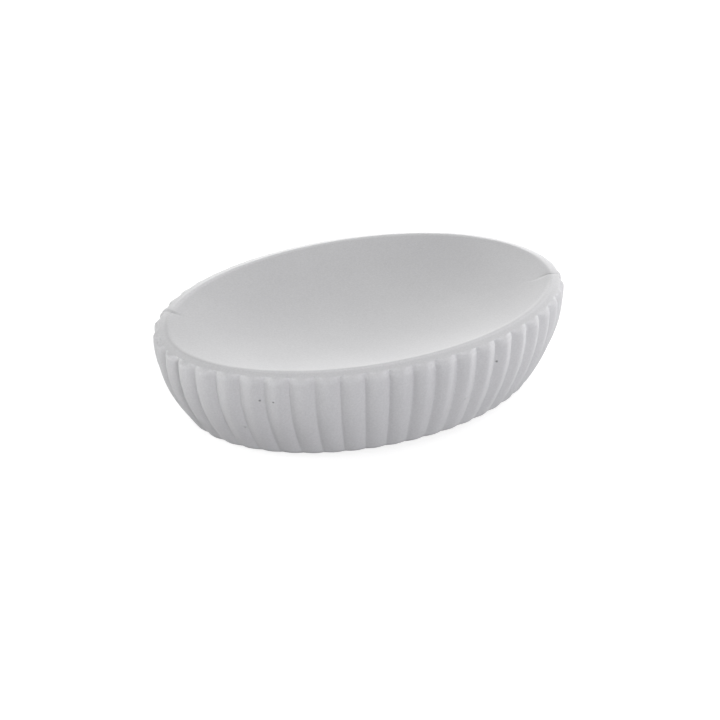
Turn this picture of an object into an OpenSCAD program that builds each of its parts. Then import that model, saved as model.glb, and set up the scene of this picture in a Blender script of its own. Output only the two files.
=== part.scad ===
// Oval soap dish, cast in one piece from resin stone: ribbed outside, a smooth hollow for the
// soap on top, and four stick-on feet let into its flat underside.
// Origin: the middle of the footprint, on the surface that the feet stand on.
// X runs along the dish, Y across it with the front at -Y, and Z is up.

/* [Dish] */
// Length over the ribs, at the widest level
body_length = 152.8; // [130:0.2:190]
// Width over the ribs, at the widest level
body_width = 104.2; // [90:0.2:130]
// Height of the cast body, from its underside to the crest of the rim
body_height = 34.1; // [30:0.2:50]
// How far the underside is drawn in at each end, from the widest level
base_tuck_end = 12.1; // [6:0.1:15]
// How far the underside is drawn in at each side, from the widest level
base_tuck_side = 8; // [4:0.1:10]
// Power of the curve of the wall: higher bends it more sharply near the underside
wall_power = 1.95; // [1.4:0.05:2.8]
// Small round where the wall meets the underside
base_round = 1; // [0.3:0.1:1.6]

/* [Rim] */
// Distance of the crest of the rim from the widest outline, at each end
rim_setback_end = 4.6; // [4:0.1:8]
// Distance of the crest of the rim from the widest outline, at each side
rim_setback_side = 5.1; // [3.5:0.1:7]
// Drop from the crest of the rim to the widest level
shoulder_drop = 3.8; // [2.5:0.1:6]
// Power of the curve of the shoulder: higher is fuller, with a flatter band beside the crest
shoulder_power = 3.4; // [2:0.1:5]

/* [Ribs] */
// Number of ribs round the dish
rib_count = 48; // [36:1:54]
// Height of a rib above the grooves beside it
rib_height = 1.8; // [0.6:0.1:2.4]
// Height that a rib keeps at the underside, as a share of its full height
base_rib_share = 0.3; // [0.2:0.05:1]
// Share of the height of a rib that lies inside the plain body, as grooves; the rest stands out
rib_inside_share = 0.9; // [0:0.05:1]
// Drop from the crest of the rim to the top end of a rib
rib_top_drop = 1; // [0.6:0.1:2.4]
// Height of the round at the top end of a rib
rib_top_round = 1.2; // [0.8:0.1:2.4]
// Power of the round across a rib: higher is flatter, with narrower grooves
rib_power = 1.7; // [1.4:0.1:4]
// Place of the groove nearest to the middle of the front, in ribs
first_groove_share = -0.08; // [-0.5:0.01:0.5]

/* [Hollow] */
// Depth of the hollow under the crest of the rim
hollow_depth = 7.5; // [5:0.5:16]
// Width of the round between the crest and the hollow, at each side
crest_round = 0.8; // [0.6:0.1:4]

/* [Feet] */
// Diameter of a foot
foot_diameter = 12; // [8:0.5:14]
// Thickness of a foot
foot_thickness = 2.4; // [1.8:0.1:4]
// Round of the lower edge of a foot
foot_edge_round = 0.5; // [0.2:0.1:0.8]
// How far a foot stands out of the underside
foot_stand = 1; // [0.6:0.1:1.6]
// Gap round a foot in its recess
foot_clearance = 0.3; // [0.2:0.05:0.6]
// Distance between the feet along the dish
foot_spacing_x = 68; // [56:1:74]
// Distance between the feet across the dish
foot_spacing_y = 40; // [32:1:44]
// Thickness of the adhesive disc that holds a foot
adhesive_thickness = 0.3; // [0.1:0.05:0.5]
// How far the adhesive disc stops short of the edge of the foot
adhesive_margin = 0.4; // [0.2:0.1:1]

/* [Hidden] */

overrun = 1;
round_facets = 72;
edge_steps = 5;

// Half sizes of the plan ovals
body_half = [body_length / 2, body_width / 2];
base_half = body_half - [base_tuck_end, base_tuck_side];
crest_half = body_half - [rim_setback_end, rim_setback_side];

// Levels above the surface that the feet stand on
underside_z = foot_stand;
crest_z = underside_z + body_height;
widest_z = crest_z - shoulder_drop;
recess_depth = foot_thickness + adhesive_thickness - foot_stand;
adhesive_z = foot_thickness;

// Stations round the dish: each rib has one in its groove and five on its round
rib_stations = 6;
station_count = rib_count * rib_stations;
arc_steps = 720;

// Places of the rings, chosen where the outline bends
wall_ring_shares = [0.12, 0.28, 0.48, 0.7, 0.87, 1];
shoulder_ring_shares = [0.2, 0.42, 0.58, 0.68, 0.74, 0.88];
round_ring_shares = [0.5, 1];
hollow_ring_shares = [0.84, 0.66, 0.46, 0.24];

// Point of an oval with half sizes h at angle t
function oval_point(h, t) = [h[0] * cos(t), h[1] * sin(t)];

// Length along the widest oval from angle zero, in small straight steps, paired with the angle
function step_angle(i) = 360 * i / arc_steps;
function step_length(i) =
    norm(oval_point(body_half, step_angle(i + 1)) - oval_point(body_half, step_angle(i)));
arc_table = [
    for (i = 0, run = 0; i <= arc_steps; run = run + step_length(i), i = i + 1)
        [run, step_angle(i)]
];
oval_round = arc_table[arc_steps][0];

// Angle of a station: grooves lie at equal steps along the widest oval, the first near the front
function turn_share(k) = 0.75 + (k / rib_stations + first_groove_share) / rib_count;
function station_angle(k) = lookup((turn_share(k) - floor(turn_share(k))) * oval_round, arc_table);
station_angles = [for (k = [0 : station_count - 1]) station_angle(k)];

// Rib at a station, as a share of its height: lowest in the groove, highest in the middle
function groove_share(k) = pow(abs(2 * (k % rib_stations) / rib_stations - 1), rib_power);
function rib_share(k) = 1 - rib_inside_share - groove_share(k);

// Outward unit vector across an oval with half sizes h at angle t
function outward(h, t) = [h[1] * cos(t), h[0] * sin(t)] / norm([h[1] * cos(t), h[0] * sin(t)]);

// One ring of points: an oval at height z, with ribs across it that are rise high
function ring(h, z, rise) = [
    for (k = [0 : station_count - 1])
        let (t = station_angles[k])
        let (p = oval_point(h, t) + outward(h, t) * rise * rib_share(k))
        [p[0], p[1], z]
];

// Height of the ribs at height z: growing up the wall, then ending on a quarter circle
function wall_share(z) = min((z - underside_z) / (widest_z - underside_z), 1);
function full_rise(z) = rib_height * (base_rib_share + (1 - base_rib_share) * sqrt(wall_share(z)));
function top_share(z) = min(max((crest_z - rib_top_drop - z) / rib_top_round, 0), 1);
function rise_at(z) = full_rise(z) * sqrt(1 - pow(1 - top_share(z), 2));
function outer_rise(z) = full_rise(z) * (1 - rib_inside_share);

// Plain wall: under ribs that reach out to a power curve, upright at the top
function wall_reach(s) = 1 - pow(1 - s, wall_power);
function wall_z(s) = underside_z + (widest_z - underside_z) * s;
function wall_half(s) = base_half + (body_half - base_half) * wall_reach(s) - outer_rise(wall_z(s)) * [1, 1];
base_round_share = base_round / (widest_z - underside_z);

// Shoulder: from the plain wall in to the crest, on a power curve that is upright at its foot
shoulder_foot = body_half - outer_rise(widest_z) * [1, 1];
function shoulder_half(s) = shoulder_foot + (crest_half - shoulder_foot) * pow(s, shoulder_power);
function shoulder_z(s) = widest_z + shoulder_drop * s;

// Hollow: a shallow bowl of scaled ovals, joined to the crest by a round of the same slope
crest_round_share = crest_round / crest_half[1];
function bowl_drop(s) = hollow_depth * (1 - s * s / (1 - crest_round_share));
function round_drop(s) = hollow_depth * crest_round_share * s * s;
function hollow_half(s) = crest_half * s;

// A ribbed ring on the wall or the shoulder, where the level alone sets the height of the ribs
function ribbed(h, z) = ring(h, z, rise_at(z));

rings = concat(
    [ribbed(wall_half(0) - [base_round, base_round], underside_z)],
    [ribbed(wall_half(base_round_share), wall_z(base_round_share))],
    [for (s = wall_ring_shares) ribbed(wall_half(s), wall_z(s))],
    [for (s = shoulder_ring_shares) ribbed(shoulder_half(s), shoulder_z(s))],
    [ring(crest_half, crest_z, 0)],
    [for (s = round_ring_shares) ring(hollow_half(1 - crest_round_share * s), crest_z - round_drop(s), 0)],
    [for (s = hollow_ring_shares) ring(hollow_half(s), crest_z - bowl_drop(s), 0)]
);
last_ring = len(rings) - 1;
under_centre = len(rings) * station_count;
hollow_centre = under_centre + 1;

cast_points = concat(
    [for (r = rings) each r],
    [[0, 0, underside_z], [0, 0, crest_z - hollow_depth]]
);
function at(r, k) = r * station_count + k % station_count;
cast_faces = concat(
    [for (k = [0 : station_count - 1]) [under_centre, at(0, k), at(0, k + 1)]],
    [for (r = [0 : last_ring - 1], k = [0 : station_count - 1]) [at(r, k), at(r + 1, k), at(r + 1, k + 1)]],
    [for (r = [0 : last_ring - 1], k = [0 : station_count - 1]) [at(r, k), at(r + 1, k + 1), at(r, k + 1)]],
    [for (k = [0 : station_count - 1]) [hollow_centre, at(last_ring, k + 1), at(last_ring, k)]]
);

// Puts something at one foot: end is -1 for left and 1 for right, side is -1 for front and 1 for rear
module at_foot(end, side) {
    translate([end * foot_spacing_x / 2, side * foot_spacing_y / 2, 0]) children();
}

module dish_body() {
    color([0.80, 0.80, 0.81])
    difference() {
        polyhedron(points = cast_points, faces = cast_faces, convexity = 6);
        for (end = [-1, 1], side = [-1, 1])
            at_foot(end, side)
            translate([0, 0, underside_z - overrun])
            cylinder(d = foot_diameter + 2 * foot_clearance, h = recess_depth + overrun, $fn = round_facets);
    }
}

// Adhesive disc: fills the height between the foot and the top of its recess
module adhesive_disc(end, side) {
    color([0.93, 0.92, 0.86])
    at_foot(end, side)
    translate([0, 0, adhesive_z])
    cylinder(d = foot_diameter - 2 * adhesive_margin, h = adhesive_thickness, $fn = round_facets);
}

// Foot: a soft round pad with its lower edge rounded
module foot_pad(end, side) {
    flat_radius = foot_diameter / 2 - foot_edge_round;
    edge = [
        for (i = [0 : edge_steps])
            let (a = 90 * i / edge_steps)
            [flat_radius + foot_edge_round * sin(a), foot_edge_round * (1 - cos(a))]
    ];
    color([0.22, 0.22, 0.23])
    at_foot(end, side)
    rotate_extrude($fn = round_facets)
    polygon(concat([[0, 0]], edge, [[foot_diameter / 2, foot_thickness], [0, foot_thickness]]));
}

dish_body();
adhesive_disc(-1, -1);  // adhesive_disc_front_left
adhesive_disc(1, -1);  // adhesive_disc_front_right
adhesive_disc(-1, 1);  // adhesive_disc_rear_left
adhesive_disc(1, 1);  // adhesive_disc_rear_right
foot_pad(-1, -1);  // foot_pad_front_left
foot_pad(1, -1);  // foot_pad_front_right
foot_pad(-1, 1);  // foot_pad_rear_left
foot_pad(1, 1);  // foot_pad_rear_right
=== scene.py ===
# %% [markdown]
# A soap dish is a small thing, but it shows most of what a cast piece asks of a modeller: one
# unbroken skin, an even ring of ribs, a rim that is rounded by hand, and a dull mineral
# finish whose only colour is light grey. The dish here is cast in one piece, so it is made as
# one surface. Underneath sit four stick-on feet, which come ready made with the frame.

# %% Load the frame
import math
import bmesh
import bpy
import numpy as np
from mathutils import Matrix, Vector


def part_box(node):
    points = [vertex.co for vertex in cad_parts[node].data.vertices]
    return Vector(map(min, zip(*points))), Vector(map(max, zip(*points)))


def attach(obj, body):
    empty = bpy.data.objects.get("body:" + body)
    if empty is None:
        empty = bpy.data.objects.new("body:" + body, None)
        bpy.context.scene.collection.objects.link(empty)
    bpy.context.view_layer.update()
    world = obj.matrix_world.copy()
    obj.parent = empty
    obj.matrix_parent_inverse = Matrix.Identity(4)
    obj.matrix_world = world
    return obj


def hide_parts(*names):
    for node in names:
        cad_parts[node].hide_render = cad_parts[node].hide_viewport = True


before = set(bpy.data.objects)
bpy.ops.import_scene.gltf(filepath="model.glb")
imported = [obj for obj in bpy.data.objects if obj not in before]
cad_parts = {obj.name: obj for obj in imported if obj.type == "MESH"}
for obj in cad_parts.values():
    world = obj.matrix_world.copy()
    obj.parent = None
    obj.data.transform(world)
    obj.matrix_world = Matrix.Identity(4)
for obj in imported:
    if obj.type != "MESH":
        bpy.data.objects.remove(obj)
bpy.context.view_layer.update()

MM = 0.001

# %% [markdown]
# The camera comes first, because every later choice is judged through it. It stands to the
# front left of the dish, a little under thirty degrees up, and far enough away that the oval
# keeps its shape. A long lens from some distance is what a product photographer would choose.

# %% Camera
view_turn = math.radians(-28.9)
view_height = math.radians(28.2)
view_distance = 709 * MM
view_aim = Vector((6.95, 15.0, 1.5)) * MM
view_lens = 97.5
sensor_width = 36
farthest_seen = 20

back = Vector((
    math.sin(view_turn) * math.cos(view_height),
    -math.cos(view_turn) * math.cos(view_height),
    math.sin(view_height),
))
camera_data = bpy.data.cameras.new("camera")
camera_data.lens = view_lens
camera_data.sensor_width = sensor_width
camera_data.clip_end = farthest_seen
camera = bpy.data.objects.new("camera", camera_data)
camera.location = view_aim + back * view_distance
camera.rotation_euler = (-back).to_track_quat("-Z", "Y").to_euler()
bpy.context.scene.collection.objects.link(camera)
bpy.context.scene.camera = camera
print("camera at", [round(c, 4) for c in camera.location])

# %% [markdown]
# The sizes of the dish are read off the frame where that is possible, so that the skin made
# here lies on the solid that it stands for. What the frame's boxes do not tell, such as the
# height of a rib, is a named size in millimetres, the same as in the construction.

# %% Sizes
dish_low, dish_high = (np.array(c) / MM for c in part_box("dish_body"))
foot_low, foot_high = (np.array(c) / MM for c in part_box("foot_pad_front_left"))
disc_low, disc_high = (np.array(c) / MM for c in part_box("adhesive_disc_front_left"))

body_length, body_width = 152.8, 104.2
base_tuck_end, base_tuck_side = 12.1, 8.0
rim_setback_end, rim_setback_side = 4.6, 5.1
body_half = np.array([body_length, body_width]) / 2
base_half = body_half - np.array([base_tuck_end, base_tuck_side])
crest_half = body_half - np.array([rim_setback_end, rim_setback_side])

underside_z = dish_low[2]
crest_z = dish_high[2]
shoulder_drop = 3.8
shoulder_power = 3.4
widest_z = crest_z - shoulder_drop
wall_power = 1.95
base_round = 1.0
hollow_depth = 7.5
crest_round = 0.8

rib_count = 48
rib_height = 1.8
base_rib_share = 0.3
rib_inside_share = 0.9
rib_top_drop = 1.0
rib_top_round = 1.2
rib_power = 1.7
first_groove_share = -0.08

foot_spacing = np.array([68.0, 40.0])
foot_clearance = 0.3
recess_radius = (foot_high[0] - foot_low[0]) / 2 + foot_clearance
recess_top = disc_high[2]
print("dish", dish_high - dish_low, "recess radius", recess_radius, "top", recess_top)

# %% [markdown]
# A ribbed bowl could be made with a displaced cylinder or an array of cutters. Both leave a
# dense mesh that bends badly at the rim. Here the skin is one grid: one parameter runs round
# the dish, the other from the underside up the wall, over the rim and down to the middle of
# the hollow. First the way round. An oval has no simple formula for equal steps along its
# edge, so the steps are measured: the length of the edge is added up once, and the angle for
# any share of it is looked up.

# %% Steps round the oval
stations_per_rib = 22
station_count = rib_count * stations_per_rib
front_share = 0.75
chord_count = 7200


def even_angles(shares, half):
    """Angles at which an oval is reached after the given shares of its edge, by adding up chords."""
    angle = np.linspace(0, 2 * np.pi, chord_count + 1)
    points = np.stack([half[0] * np.cos(angle), half[1] * np.sin(angle)], axis=1)
    run = np.concatenate([[0], np.cumsum(np.linalg.norm(np.diff(points, axis=0), axis=1))])
    return np.interp((shares % 1) * run[-1], run, angle), run[-1]


rib_place = np.arange(station_count) / stations_per_rib
edge_shares = front_share + (rib_place + first_groove_share) / rib_count
angles, oval_round = even_angles(edge_shares, body_half)
print("edge", round(oval_round, 1), "mm, a rib every", round(oval_round / rib_count, 2), "mm")

# %% [markdown]
# Now the way up, along the plain body. A tenth of a rib's height stands out of the plain body,
# and the rest is cut into it as grooves. The profile is a chain of plain formulas: a small
# bevel at the underside, the wall on a power curve, the shoulder on another one, the round of
# the crest, and the bowl of the hollow. Each makes a piece of the line with many points.

# %% Profile formulas
hollow_last_share = 0.01


def full_rise(height):
    """Height of a rib over its grooves: grows with the root of the share of the wall."""
    wall_share = np.clip((height - underside_z) / (widest_z - underside_z), 0, 1)
    return rib_height * (base_rib_share + (1 - base_rib_share) * np.sqrt(wall_share))


def stand_out(height):
    """How far a rib stands out of the plain body; the rest of its height is cut in as grooves."""
    return (1 - rib_inside_share) * full_rise(height)


def wall_line(count):
    """Half sizes over the ribs grow with one minus a power of the height to go; less what stands out."""
    share = np.linspace(base_round / (widest_z - underside_z), 1, count, endpoint=False)
    over_ribs = base_half + (body_half - base_half) * (1 - (1 - share) ** wall_power)[:, None]
    height = underside_z + (widest_z - underside_z) * share
    return np.column_stack([over_ribs - stand_out(height)[:, None], height])


def shoulder_line(count):
    """From the widest level to the crest, half sizes shrink with a power of the share of the height."""
    share = np.linspace(0, 1, count, endpoint=False)
    foot = body_half - stand_out(widest_z)
    half = foot + (crest_half - foot) * (share ** shoulder_power)[:, None]
    return np.column_stack([half, widest_z + shoulder_drop * share])


def hollow_line(count):
    """Scaled ovals: a round of constant curvature at the crest, then a bowl with the same slope."""
    round_share = crest_round / crest_half[1]
    scale = np.linspace(1, hollow_last_share, count)
    in_round = (1 - scale) / round_share
    bowl = hollow_depth * (1 - scale ** 2 / (1 - round_share))
    drop = np.where(in_round < 1, hollow_depth * round_share * in_round ** 2, bowl)
    return np.column_stack([crest_half * scale[:, None], crest_z - drop])


print("height of a rib at the underside and at its widest:",
      [round(float(full_rise(level)), 2) for level in (underside_z, widest_z)])

# %% [markdown]
# A line with corners would give a dish with edges. Sandpaper takes the corners off a master,
# and here an average does the same: each point takes the mean of its neighbours under a bell.
# Then the line is walked in steps that are long where little happens and short round the rim.

# %% Profile
base_points, wall_points, shoulder_points, hollow_points = 40, 900, 400, 900
fine_step, sanded_width = 0.02, 1.6
profile_rows = 90
plain_wish, rim_wish, base_wish, hollow_saving = 0.6, 4.5, 1.6, 0.35
rim_lead, rim_reach, base_reach = 2.5, 3.6, 1.2
hollow_start, hollow_blend = 6, 8


def runs(line):
    """Distance along a line at each of its points, measured across the side of the dish."""
    return np.concatenate([[0], np.cumsum(np.linalg.norm(np.diff(line[:, 1:], axis=0), axis=1))])


def read_off(line, run, at):
    """Points of a line at given distances along it."""
    return np.stack([np.interp(at, run, line[:, i]) for i in range(3)], axis=1)


def soften(line):
    """The line in even steps, each point averaged with its neighbours under a bell."""
    run = runs(line)
    even = read_off(line, run, np.arange(0, run[-1], fine_step))
    bell = np.hanning(int(sanded_width / fine_step) | 1)
    bell /= bell.sum()
    reach = len(bell) // 2
    before = 2 * even[0] - even[reach:0:-1]
    after = 2 * even[-1] - even[-2:-reach - 2:-1]
    padded = np.concatenate([before, even, after])
    return np.stack([np.convolve(padded[:, i], bell, mode="valid") for i in range(3)], axis=1)


def walk(line):
    """Points along a line. How close they lie is a plain wish plus one bell each at the rim and the
    base, less a ramp into the hollow."""
    run = runs(line)
    crest_run = run[np.argmax(line[:, 2])]
    from_rim = run - crest_run + rim_lead
    wish = plain_wish + rim_wish * np.exp(-(from_rim / rim_reach) ** 2)
    wish += base_wish * np.exp(-(run / base_reach) ** 2)
    wish -= hollow_saving * np.clip((from_rim - hollow_start) / hollow_blend, 0, 1)
    total = np.concatenate([[0], np.cumsum((wish[1:] + wish[:-1]) / 2 * np.diff(run))])
    at = np.interp(np.linspace(0, total[-1], profile_rows), total, run)
    return read_off(line, run, at), at < crest_run


wall = wall_line(wall_points)
base_start = base_half - base_round - stand_out(underside_z)
base = np.linspace([*base_start, underside_z], wall[0], base_points, endpoint=False)
whole_line = np.concatenate([base, wall, shoulder_line(shoulder_points), hollow_line(hollow_points)])
profile, outside = walk(soften(whole_line))
print("profile rows", len(profile), "skin quads", (len(profile) - 1) * station_count)

# %% [markdown]
# Across one rib the skin bulges between two narrow grooves. The distance to the nearer groove
# drives it, and that distance is rounded off at zero, because no mould has a knife edge and no
# cast fills one. Up the wall the ribs get higher, then each ends on a quarter circle just under
# the rim. No two ribs of a cast piece are quite alike, so each one gets its own small share of
# height and its own small step at the top. At the right end, where the seam was sanded off, the
# tops are worn lower.

# %% Ribs
groove_round_share = 0.03
least_loss_share, loss_spread_share = 0.01, 0.05
top_spread = 0.10
worn_middle, worn_reach, worn_drop = math.radians(15), math.radians(25), 1.3

dice = np.random.default_rng(7)
own_height_share = 1 - least_loss_share - loss_spread_share * dice.uniform(0, 1, rib_count)
own_top_drop = rib_top_drop + top_spread * dice.uniform(-1, 1, rib_count)
rib_angles = angles[stations_per_rib // 2::stations_per_rib]
from_worn = (rib_angles - worn_middle + np.pi) % (2 * np.pi) - np.pi
own_top_drop += worn_drop * np.exp(-(from_worn / worn_reach) ** 2)
rib_index = np.floor(rib_place).astype(int)


def across(place):
    """One minus a power of the way from the middle of the rib to its groove; zero in the groove."""
    to_groove = 1 - np.abs(2 * (place % 1) - 1)
    rounded = np.sqrt(to_groove ** 2 + groove_round_share ** 2) - groove_round_share
    rounded = rounded / (math.sqrt(1 + groove_round_share ** 2) - groove_round_share)
    return 1 - (1 - rounded) ** rib_power


def rise_at(height):
    """Full height of the ribs at a level, times a quarter circle that ends them at the top."""
    top_share = np.clip((crest_z - own_top_drop[rib_index] - height) / rib_top_round, 0, 1)
    return full_rise(height) * own_height_share[rib_index] * np.sqrt(1 - (1 - top_share) ** 2)


def skin_points(rows, ribbed_rows):
    """Each row is an oval at its level, moved along its outward normal by the height of the ribs."""
    half_x, half_y, height = (rows[:, i:i + 1] for i in range(3))
    cosine, sine = np.cos(angles)[None], np.sin(angles)[None]
    normal_x, normal_y = half_y * cosine, half_x * sine
    length = np.hypot(normal_x, normal_y)
    rise = rise_at(height) * (across(rib_place) - rib_inside_share)[None] * ribbed_rows[:, None]
    x = half_x * cosine + rise * normal_x / length
    y = half_y * sine + rise * normal_y / length
    return np.stack([x, y, np.broadcast_to(height, x.shape)], axis=2)


skin = skin_points(profile, outside)
mean_rise = rise_at(np.array([[widest_z]])).mean()
print("mean height of the ribs at the widest level", round(float(mean_rise), 2))

# %% [markdown]
# The rim of a cast dish is rubbed smooth by hand, and the rubbing takes most at the two ends,
# where the rim bends most. The crest is lowered there by about half a millimetre. A proportional
# edit could do it, but a formula is the same each time and fades out by itself.

# %% Rubbed ends
rub_depth, rub_reach, rub_power = 0.55, 4.6, 10


def rub_ends(points, way):
    """Lowers the crest towards both ends: a bell across the crest times a power of the cosine."""
    across_crest = np.exp(-((way - way[np.argmax(profile[:, 2])]) / rub_reach) ** 2)
    points[..., 2] -= rub_depth * across_crest[:, None] * np.cos(angles)[None] ** rub_power


rub_ends(skin, runs(profile))
crest_heights = skin[..., 2].max(axis=0)
print("crest from", round(float(crest_heights.min()), 2), "to", round(float(crest_heights.max()), 2))

# %% [markdown]
# The mould was made in two halves that met across the ends of the dish. Where they met, a
# faint seam crosses the rim: a hair of a groove, with one side a little lower than the other.
# It is pressed into the skin along a short line in plan. It starts from nothing in the hollow
# and fades out again down the wall.

# %% Mould seam
seam_paths = (
    ((58.5, -14.3), (61.7, -15.2), (66.0, -14.6), (70.8, -14.9), (75.0, -13.2)),
    ((-60.2, 18.6), (-62.3, 21.7), (-63.7, 26.1), (-66.0, 31.0)),
)
seam_depth, seam_half = 0.40, 0.45
step_height, step_reach = 0.40, 2.2
seam_start_rate = 1.8
seam_wall_reach = 1.5


def press_seam(points, path):
    """Lowers points by a bell of their distance to the path, and one side by a fading step too."""
    best = np.full(points.shape[:2], np.inf)
    side = np.zeros(points.shape[:2])
    along = np.zeros(points.shape[:2])
    corners = np.array(path)
    lengths = np.linalg.norm(np.diff(corners, axis=0), axis=1)
    for i, (start, end) in enumerate(zip(corners[:-1], corners[1:])):
        way = (end - start) / lengths[i]
        rel = points[..., :2] - start
        on = np.clip(rel @ way, 0, lengths[i])
        off = rel - on[..., None] * way
        gap = np.linalg.norm(off, axis=2)
        nearer = gap < best
        best = np.where(nearer, gap, best)
        side = np.where(nearer, np.sign(way[0] * off[..., 1] - way[1] * off[..., 0]), side)
        along = np.where(nearer, lengths[:i].sum() + on, along)
    fade = np.clip(along / lengths.sum() * seam_start_rate, 0, 1)
    groove = seam_depth * np.exp(-(best / seam_half) ** 2)
    step = step_height * np.clip(side * best / seam_half, 0, 1) * np.exp(-best / step_reach)
    near_rim = np.exp(-np.clip(widest_z - points[..., 2], 0, None) / seam_wall_reach)
    points[..., 2] -= (groove + step) * fade * near_rim


for path in seam_paths:
    press_seam(skin, path)
print("seams pressed:", len(seam_paths))

# %% [markdown]
# The points become a mesh: quads between neighbours on the grid, closed round the dish, and a
# fan of triangles over the small circle left in the middle of the hollow.

# %% Skin mesh
def grid_faces(row_count):
    """Quads between neighbours on the grid, closed round the dish, facing outwards and up."""
    row, col = np.meshgrid(np.arange(row_count - 1), np.arange(station_count), indexing="ij")
    here = row * station_count + col
    beside = row * station_count + (col + 1) % station_count
    quads = np.stack([here, beside, beside + station_count, here + station_count], axis=2)
    return quads.reshape(-1, 4)


def fan_faces(row_count, middle):
    """Triangles from each edge of the last row to the point in the middle."""
    around = np.arange(station_count)
    first = (row_count - 1) * station_count
    corners = [first + around, first + (around + 1) % station_count, np.full(station_count, middle)]
    return np.stack(corners, axis=1)


points = np.concatenate([skin.reshape(-1, 3), [[0, 0, crest_z - hollow_depth]]])
faces = grid_faces(len(profile)).tolist() + fan_faces(len(profile), len(points) - 1).tolist()
dish_mesh = bpy.data.meshes.new("cast_dish")
dish_mesh.from_pydata((points * MM).tolist(), [], faces)
dish = bpy.data.objects.new("cast_dish", dish_mesh)
bpy.context.scene.collection.objects.link(dish)
print("skin points and faces:", len(points), len(faces))

# %% [markdown]
# The underside is flat, with a round recess for each foot. A flat face with holes is the one
# place where a grid is no help, so the outline and the four circles are filled together, and
# each recess gets its wall and its roof.

# %% Underside
recess_steps = 64
recess_turn = np.linspace(0, 2 * np.pi, recess_steps, endpoint=False)
circle = recess_radius * np.stack([np.cos(recess_turn), np.sin(recess_turn)], axis=1)


def sink_recess(bm, place):
    """Adds the wall and the roof of a recess over a circle in plan, and returns its lower edges."""
    low = [bm.verts.new((x * MM, y * MM, underside_z * MM)) for x, y in place]
    high = [bm.verts.new((x * MM, y * MM, recess_top * MM)) for x, y in place]
    lower_edges = []
    for i in range(recess_steps):
        j = (i + 1) % recess_steps
        bm.faces.new((low[i], high[i], high[j], low[j]))
        lower_edges.append(bm.edges.get((low[i], low[j])))
    bm.faces.new(high[::-1])
    return lower_edges


def close_underside(mesh):
    """Fills between the outline of the underside and four circles, with a recess at each circle."""
    bm = bmesh.new()
    bm.from_mesh(mesh)
    edges = [e for e in bm.edges if e.is_boundary]
    for end in (-1, 1):
        for side in (-1, 1):
            edges += sink_recess(bm, circle + foot_spacing * (end, side) / 2)
    filled = bmesh.ops.triangle_fill(bm, use_beauty=True, use_dissolve=False, edges=edges)
    flat = [f for f in filled["geom"] if isinstance(f, bmesh.types.BMFace)]
    for face in flat:
        if face.normal.z > 0:
            face.normal_flip()
    bm.to_mesh(mesh)
    open_edges = sum(1 for e in bm.edges if not e.is_manifold)
    bm.free()
    return len(flat), open_edges


print("underside faces and open edges:", close_underside(dish_mesh))

# %% [markdown]
# Every finish here is a shader with a few textures on object coordinates, so that a pattern
# stays where it is on the piece. The same few nodes come back each time, and each of them gets
# a small helper that makes the node, sets it and hands back its socket.

# %% Material tools
def new_material(name):
    """An empty node material with a Principled shader, an output and object coordinates."""
    material = bpy.data.materials.new(name)
    material.use_nodes = True
    nodes = material.node_tree.nodes
    nodes.clear()
    output = nodes.new("ShaderNodeOutputMaterial")
    shader = nodes.new("ShaderNodeBsdfPrincipled")
    place = nodes.new("ShaderNodeTexCoord")
    material.node_tree.links.new(shader.outputs["BSDF"], output.inputs["Surface"])
    return material, nodes, material.node_tree.links, shader, place


def noise(nodes, links, place, scale, detail, roughness=0.5):
    """A noise texture on object coordinates; scale is in bumps per metre."""
    node = nodes.new("ShaderNodeTexNoise")
    node.inputs["Scale"].default_value = scale
    node.inputs["Detail"].default_value = detail
    node.inputs["Roughness"].default_value = roughness
    links.new(place.outputs["Object"], node.inputs["Vector"])
    return node.outputs["Fac"]


def spread(nodes, links, source, low, high, source_low=0.3, source_high=0.7):
    """Maps a value from its own range to the range from low to high."""
    node = nodes.new("ShaderNodeMapRange")
    node.inputs["From Min"].default_value = source_low
    node.inputs["From Max"].default_value = source_high
    node.inputs["To Min"].default_value = low
    node.inputs["To Max"].default_value = high
    links.new(source, node.inputs["Value"])
    return node.outputs["Result"]


def mix_colour(nodes, links, factor, first, second):
    """Blends two plain colours by a factor socket."""
    node = nodes.new("ShaderNodeMix")
    node.data_type = "RGBA"
    node.inputs["A"].default_value = (*first, 1)
    node.inputs["B"].default_value = (*second, 1)
    links.new(factor, node.inputs["Factor"])
    return node.outputs["Result"]


def bump(nodes, links, height, strength, distance, below=None):
    """A bump node on a height socket, stacked on another one if given."""
    node = nodes.new("ShaderNodeBump")
    node.inputs["Strength"].default_value = strength
    node.inputs["Distance"].default_value = distance
    links.new(height, node.inputs["Height"])
    if below:
        links.new(below, node.inputs["Normal"])
    return node.outputs["Normal"]


def combine(nodes, links, operation, first, second):
    """A math node on two sockets or numbers."""
    node = nodes.new("ShaderNodeMath")
    node.operation = operation
    for socket, value in zip(node.inputs, (first, second)):
        if isinstance(value, (int, float)):
            socket.default_value = value
        else:
            links.new(value, socket)
    return node.outputs[0]


# %% [markdown]
# Air bubbles in the mix leave pinholes, and bubbles in the mould leave pimples. Both are
# smaller than a millimetre, too small to model. Each is a place in millimetres and a radius;
# the material sinks (or lifts) the surface inside that radius, and paints shade into the pinholes.

# %% Pinholes and pimples
spot_flat_share = 0.35
pinholes = (
    ((-56.9, -33.3, 25.7), 0.50),
    ((-53.6, -36.5, 25.7), 0.42),
    ((24.9, -47.7, 25.7), 0.52),
)
pimples = (
    ((12.2, -49.1, 15.6), 0.70),
    ((-59.1, -26.6, 13.2), 0.60),
)


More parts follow.
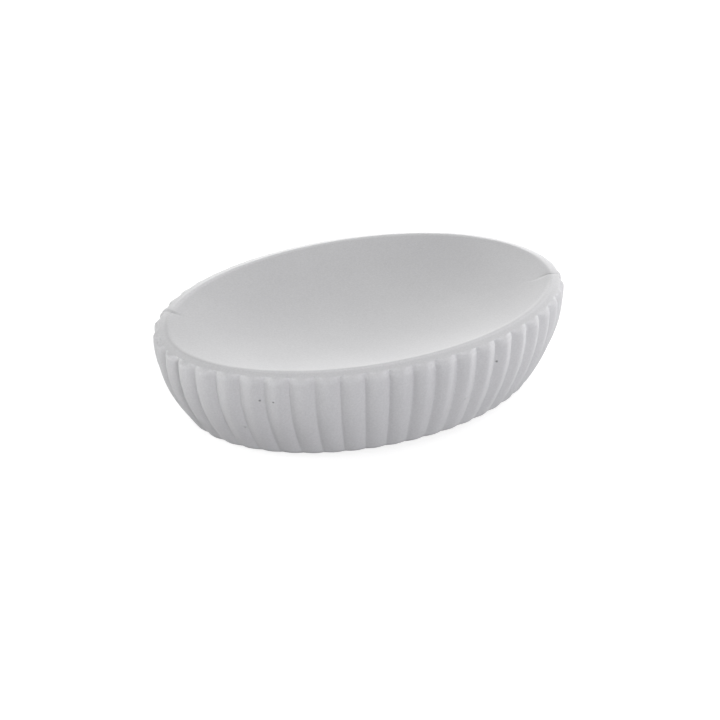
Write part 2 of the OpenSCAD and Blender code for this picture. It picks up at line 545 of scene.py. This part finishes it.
def spots(nodes, links, place, places):
    """One at the middle of any of the places, falling to zero at its radius."""
    total = 0.0
    for centre, radius in places:
        gap = nodes.new("ShaderNodeVectorMath")
        gap.operation = "DISTANCE"
        links.new(place.outputs["Object"], gap.inputs[0])
        gap.inputs[1].default_value = [c * MM for c in centre]
        flat_radius = spot_flat_share * radius * MM
        mark = spread(nodes, links, gap.outputs["Value"], 1.0, 0.0, flat_radius, radius * MM)
        total = combine(nodes, links, "ADD", mark, total)
    return total


print("pinholes", len(pinholes), "pimples", len(pimples))

# %% [markdown]
# The stone is painted a shade paler in two places: a thin line on the very crest, which is a
# painted highlight, and the shoulder outside it, which is painted light. Painting a map would do
# it too, but the level of a point and its place in the oval of the crest say the same with a few nodes.

# %% Painted light on the rim
crest_level = float(profile[:, 2].max())
# Painted highlight: depths below the crest of the thin pale line, and its gain; painted light: the same
# for the shoulder band.
highlight_line_depths, highlight_gain = (0.36, 0.12), 1.12
lit_shoulder_depths, lit_shoulder_gain = (1.9, 1.2), 1.12
crest_edge_share = 1.015


def painted_rim_light(nodes, links, place):
    """Painted highlight and painted light: over one in a thin line on the crest, and over one on the
    shoulder, high and outside the oval.
    """
    height = nodes.new("ShaderNodeSeparateXYZ")
    links.new(place.outputs["Object"], height.inputs[0])
    line_low, line_high = ((crest_level - below) * MM for below in highlight_line_depths)
    # Painted highlight: paler colour in a thin line on the crest.
    line = spread(nodes, links, height.outputs["Z"], 1.0, highlight_gain, line_low, line_high)
    oval = nodes.new("ShaderNodeVectorMath")
    oval.operation = "MULTIPLY"
    links.new(place.outputs["Object"], oval.inputs[0])
    oval.inputs[1].default_value = (1 / (crest_half[0] * MM), 1 / (crest_half[1] * MM), 0)
    reach = nodes.new("ShaderNodeVectorMath")
    reach.operation = "LENGTH"
    links.new(oval.outputs["Vector"], reach.inputs[0])
    outside_crest = spread(nodes, links, reach.outputs["Value"], 0.0, 1.0, 1.0, crest_edge_share)
    band_low, band_high = ((crest_level - below) * MM for below in lit_shoulder_depths)
    # Painted light: paler colour on the shoulder outside the crest.
    painted_shoulder_light = spread(nodes, links, height.outputs["Z"], 0.0, lit_shoulder_gain - 1, band_low, band_high)
    painted_shoulder_light = combine(nodes, links, "MULTIPLY", painted_shoulder_light, outside_crest)
    return combine(nodes, links, "MULTIPLY", line, combine(nodes, links, "ADD", painted_shoulder_light, 1.0))


print("crest level", round(crest_level, 2), "mm")

# %% [markdown]
# Stone resin is a filled plastic: fine mineral powder in a clear binder. Its grey is nearly
# even, with a soft cloud in it where the powder settled, and the surface is dull with a very
# fine grain. Noise at three scales gives cloud, unevenness and grain.

# %% Cast stone
stone_darker, stone_lighter = (0.590, 0.590, 0.598), (0.620, 0.620, 0.626)
# Painted shade in the pinholes: the colour falls to half at the middle of each.
pinhole_painted_shade = 0.5


def cast_stone():
    """Light grey stone resin: a faint cloud, fine grain, dull, with a soft uneven surface; painted shade
    in the pinholes and painted light on the rim.
    """
    material, nodes, links, shader, place = new_material("cast_stone")
    cloud = noise(nodes, links, place, scale=28, detail=3)
    grain = noise(nodes, links, place, scale=1500, detail=2, roughness=0.6)
    unevenness = noise(nodes, links, place, scale=160, detail=3)
    holes = spots(nodes, links, place, pinholes)
    lumps = spots(nodes, links, place, pimples)
    cloud_share = spread(nodes, links, cloud, low=0.0, high=1.0)
    base = mix_colour(nodes, links, cloud_share, stone_darker, stone_lighter)
    grain_shade = spread(nodes, links, grain, low=0.94, high=1.04)
    # Painted shade: darker colour inside each pinhole.
    hole_painted_shade = spread(nodes, links, holes, 1.0, pinhole_painted_shade, source_low=0.0, source_high=1.0)
    shade = combine(nodes, links, "MULTIPLY", grain_shade, hole_painted_shade)
    # Painted highlight on the crest and painted light on the shoulder, multiplied into the colour.
    shade = combine(nodes, links, "MULTIPLY", shade, painted_rim_light(nodes, links, place))
    speck = nodes.new("ShaderNodeVectorMath")
    speck.operation = "SCALE"
    links.new(base, speck.inputs[0])
    links.new(shade, speck.inputs["Scale"])
    links.new(speck.outputs["Vector"], shader.inputs["Base Color"])
    links.new(spread(nodes, links, grain, low=0.72, high=0.86), shader.inputs["Roughness"])
    shader.inputs["Specular IOR Level"].default_value = 0.3
    relief = combine(nodes, links, "SUBTRACT", lumps, holes)
    marks = bump(nodes, links, relief, strength=1.0, distance=0.25 * MM)
    soft_skin = bump(nodes, links, unevenness, strength=0.25, distance=0.3 * MM, below=marks)
    fine_skin = bump(nodes, links, grain, strength=0.25, distance=0.06 * MM, below=soft_skin)
    links.new(fine_skin, shader.inputs["Normal"])
    return material


stone = cast_stone()
print("nodes in the stone:", len(stone.node_tree.nodes))

# %% [markdown]
# The feet are moulded from soft rubber: nearly black, dull, with a fine pebbled skin that comes
# off the mould. Above each sits a disc of cloudy acrylic adhesive, slightly yellow, with tiny
# bubbles pressed into it. Little of either is ever seen, so one noise or two are enough.

# %% Rubber and adhesive
rubber_darker, rubber_lighter = (0.035, 0.035, 0.037), (0.052, 0.052, 0.054)
adhesive_darker, adhesive_lighter = (0.74, 0.72, 0.62), (0.82, 0.80, 0.71)


def foot_rubber():
    """Dark grey moulded rubber, dull, with a fine pebbled skin."""
    material, nodes, links, shader, place = new_material("foot_rubber")
    pebble = noise(nodes, links, place, scale=2200, detail=1)
    cloud = noise(nodes, links, place, scale=300, detail=2)
    cloud_share = spread(nodes, links, cloud, low=0.0, high=1.0)
    colour = mix_colour(nodes, links, cloud_share, rubber_darker, rubber_lighter)
    links.new(colour, shader.inputs["Base Color"])
    links.new(spread(nodes, links, cloud, low=0.62, high=0.78), shader.inputs["Roughness"])
    pebbled = bump(nodes, links, pebble, strength=0.5, distance=0.1 * MM)
    links.new(pebbled, shader.inputs["Normal"])
    return material


def adhesive_film():
    """Cloudy acrylic adhesive, slightly yellow, with tiny trapped bubbles."""
    material, nodes, links, shader, place = new_material("adhesive_film")
    bubbles = noise(nodes, links, place, scale=900, detail=2)
    bubble_share = spread(nodes, links, bubbles, low=0.0, high=1.0)
    colour = mix_colour(nodes, links, bubble_share, adhesive_darker, adhesive_lighter)
    links.new(colour, shader.inputs["Base Color"])
    links.new(spread(nodes, links, bubbles, low=0.35, high=0.5), shader.inputs["Roughness"])
    bubbled = bump(nodes, links, bubbles, strength=0.3, distance=0.05 * MM)
    links.new(bubbled, shader.inputs["Normal"])
    return material


rubber = foot_rubber()
adhesive = adhesive_film()
print("finishes:", stone.name, rubber.name, adhesive.name)

# %% [markdown]
# The skin is shaded smooth, and only edges that bend by more than fifty degrees, such as the
# rims of the recesses, stay sharp. It takes the place of the frame's own dish, while the feet
# and the discs are the frame's pieces with a new finish.

# %% Finishes on the pieces
sharp_from = math.radians(50)
dish_mesh.materials.append(stone)
dish_mesh.polygons.foreach_set("use_smooth", np.ones(len(dish_mesh.polygons), dtype=bool))
dish_mesh.set_sharp_from_angle(angle=sharp_from)
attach(dish, "root")
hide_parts("dish_body")

for name, node_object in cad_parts.items():
    if name == "dish_body":
        continue
    finish = rubber if name.startswith("foot_pad") else adhesive
    node_object.data.materials.clear()
    node_object.data.materials.append(finish)
print("materials set on", len(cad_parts) - 1, "nodes of the frame")

# %% [markdown]
# The dish stands on plain white. The floor is a round sheet that takes the shadow; for the
# camera it glows a little as well, which lifts it to white without one more lamp on the dish.
# It ends where the light on it ends, and past its edge the camera sees the white of the world.
# It lies a hair below the feet, so that no two faces share a plane.

# %% Floor
floor_radius = 0.85
floor_z = -0.02 * MM
floor_corners = 96
floor_tone, floor_seen_tone = (0.30, 0.30, 0.31, 1), (0.35, 0.35, 0.35, 1)
floor_glow = 0.80

floor_turn = np.linspace(0, 2 * np.pi, floor_corners, endpoint=False)
floor_height = np.full(floor_corners, floor_z)
floor_edge = [floor_radius * np.cos(floor_turn), floor_radius * np.sin(floor_turn), floor_height]
floor_mesh = bpy.data.meshes.new("floor")
floor_mesh.from_pydata(np.stack(floor_edge, axis=1).tolist(), [], [range(floor_corners)])
floor = bpy.data.objects.new("floor", floor_mesh)
bpy.context.scene.collection.objects.link(floor)


def floor_paper():
    """Pale sheet: a diffuse surface that also glows, for camera, glossy and transmission rays."""
    material = bpy.data.materials.new("floor_paper")
    material.use_nodes = True
    nodes, links = material.node_tree.nodes, material.node_tree.links
    nodes.clear()
    output = nodes.new("ShaderNodeOutputMaterial")
    path = nodes.new("ShaderNodeLightPath")
    plain = nodes.new("ShaderNodeBsdfDiffuse")
    plain.inputs["Color"].default_value = floor_tone
    bright = nodes.new("ShaderNodeBsdfDiffuse")
    bright.inputs["Color"].default_value = floor_seen_tone
    glow = nodes.new("ShaderNodeEmission")
    glow.inputs["Strength"].default_value = floor_glow
    added = nodes.new("ShaderNodeAddShader")
    mixed = nodes.new("ShaderNodeMixShader")
    seen = path.outputs["Is Camera Ray"]
    for ray in ("Is Glossy Ray", "Is Transmission Ray"):
        seen = combine(nodes, links, "MAXIMUM", seen, path.outputs[ray])
    links.new(bright.outputs[0], added.inputs[0])
    links.new(glow.outputs[0], added.inputs[1])
    links.new(seen, mixed.inputs[0])
    links.new(plain.outputs[0], mixed.inputs[1])
    links.new(added.outputs[0], mixed.inputs[2])
    links.new(mixed.outputs[0], output.inputs["Surface"])
    return material


floor_mesh.materials.append(floor_paper())
print("floor", 2 * floor_radius, "metres across")

# %% [markdown]
# The world is the white behind everything. It would light the dish evenly from all sides and
# wash out the ribs, so only the camera sees it, and to every other ray it is black.

# %% World
white = (1.0, 1.0, 1.0, 1.0)


def white_world():
    """White where the camera sees it, and no light from it anywhere else."""
    world = bpy.data.worlds.new("studio")
    world.use_nodes = True
    nodes, links = world.node_tree.nodes, world.node_tree.links
    nodes.clear()
    output = nodes.new("ShaderNodeOutputWorld")
    path = nodes.new("ShaderNodeLightPath")
    unlit = nodes.new("ShaderNodeBackground")
    unlit.inputs["Strength"].default_value = 0.0
    seen = nodes.new("ShaderNodeBackground")
    seen.inputs["Color"].default_value = white
    seen.inputs["Strength"].default_value = 1.0
    mixed = nodes.new("ShaderNodeMixShader")
    links.new(path.outputs["Is Camera Ray"], mixed.inputs[0])
    links.new(unlit.outputs[0], mixed.inputs[1])
    links.new(seen.outputs[0], mixed.inputs[2])
    links.new(mixed.outputs[0], output.inputs["Surface"])
    return world


bpy.context.scene.world = white_world()
bpy.context.scene.view_settings.view_transform = "Standard"
print("world:", bpy.context.scene.world.name)

# %% [markdown]
# A dish on a white table is lit by everything round it. The light here is a ring of soft lamps
# at one distance, each given by its turn and its lift in degrees and its power in watts. The
# strongest stands low behind on the right, grazes the rim and fills the near half of the hollow.
# Weaker ones stand at both ends, and the ones in front, slightly cooler, model the ribs.

# %% Lamps
lamp_distance = 1.15
lamp_size = 0.55
lamp_aim = Vector((0, 0, 0.02))
plain_white, cool_white = (1.0, 1.0, 1.0), (0.982, 0.976, 1.0)
lamps = (
    ("right_low", 0, 12, 5.5),
    ("right_high", 0, 35, 3.6),
    ("rear_right_low", 60, 12, 14.8),
    ("rear_left_low", 150, 12, 5.6),
    ("left_low", 180, 12, 2.2),
    ("left_high", 180, 35, 4.0),
    ("front_low", 270, 12, 7.4),
    ("front_middle_low", 300, 12, 1.3),
    ("front_right_low", 330, 12, 1.6),
)


def soft_lamp(name, turn, lift, power):
    """A square lamp on a sphere round the dish, at its turn and lift, turned to face the dish."""
    flat = lamp_distance * math.cos(lift)
    height = lamp_distance * math.sin(lift) + lamp_aim.z
    place = Vector((flat * math.cos(turn), flat * math.sin(turn), height))
    data = bpy.data.lights.new(name, "AREA")
    data.shape = "SQUARE"
    data.size = lamp_size
    data.energy = power
    data.color = cool_white if place.y < 0 else plain_white
    lamp = bpy.data.objects.new(name, data)
    lamp.location = place
    lamp.rotation_euler = (lamp_aim - place).to_track_quat("-Z", "Y").to_euler()
    bpy.context.scene.collection.objects.link(lamp)


for name, turn, lift, power in lamps:
    soft_lamp(name, math.radians(turn), math.radians(lift), power)
print("lamps:", len(lamps), "of", round(sum(lamp[3] for lamp in lamps), 1), "watts together")
